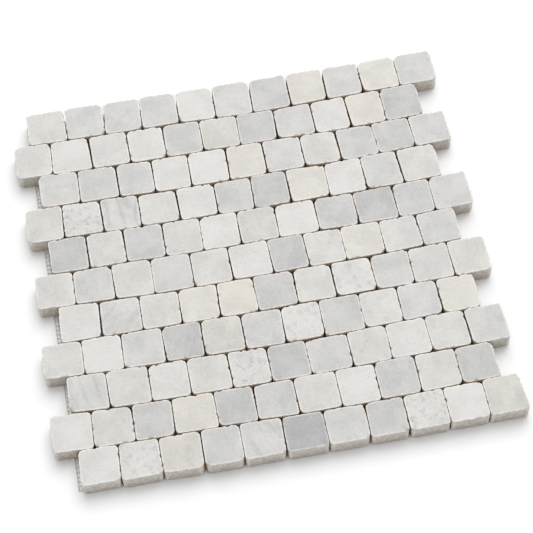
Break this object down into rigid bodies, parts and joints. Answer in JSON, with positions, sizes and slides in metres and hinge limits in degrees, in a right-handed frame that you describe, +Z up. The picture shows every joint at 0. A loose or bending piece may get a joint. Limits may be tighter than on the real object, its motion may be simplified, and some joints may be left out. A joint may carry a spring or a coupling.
{
  "type": "mosaic tile sheet",
  "caption": "Sheet of tumbled square marble mosaic tiles in a running bond on a glass-fibre net, with stepped side edges that key into the next sheet.",
  "frame": {"origin": "middle of the sheet on the plane that the net rests on", "axes": "+X along the rows towards the side where the odd rows stick out, +Y from the front row to the back row, +Z up out of the tile faces"},
  "size_m": [0.308, 0.2926, 0.013],
  "materials": {
    "tumbled_marble": "white marble clouded with grey, sawn and tumbled matt, edges and corners worn",
    "glass_fibre_net": "off-white glass-fibre scrim, stiff with a dried coating"
  },
  "bodies": {
    "root": {"tile_row_01": "tumbled_marble", "tile_row_02": "tumbled_marble", "tile_row_03": "tumbled_marble", "tile_row_04": "tumbled_marble", "tile_row_05": "tumbled_marble", "tile_row_06": "tumbled_marble", "tile_row_07": "tumbled_marble", "tile_row_08": "tumbled_marble", "tile_row_09": "tumbled_marble", "tile_row_10": "tumbled_marble", "tile_row_11": "tumbled_marble", "backing_net": "glass_fibre_net"}
  },
  "joints": []
}
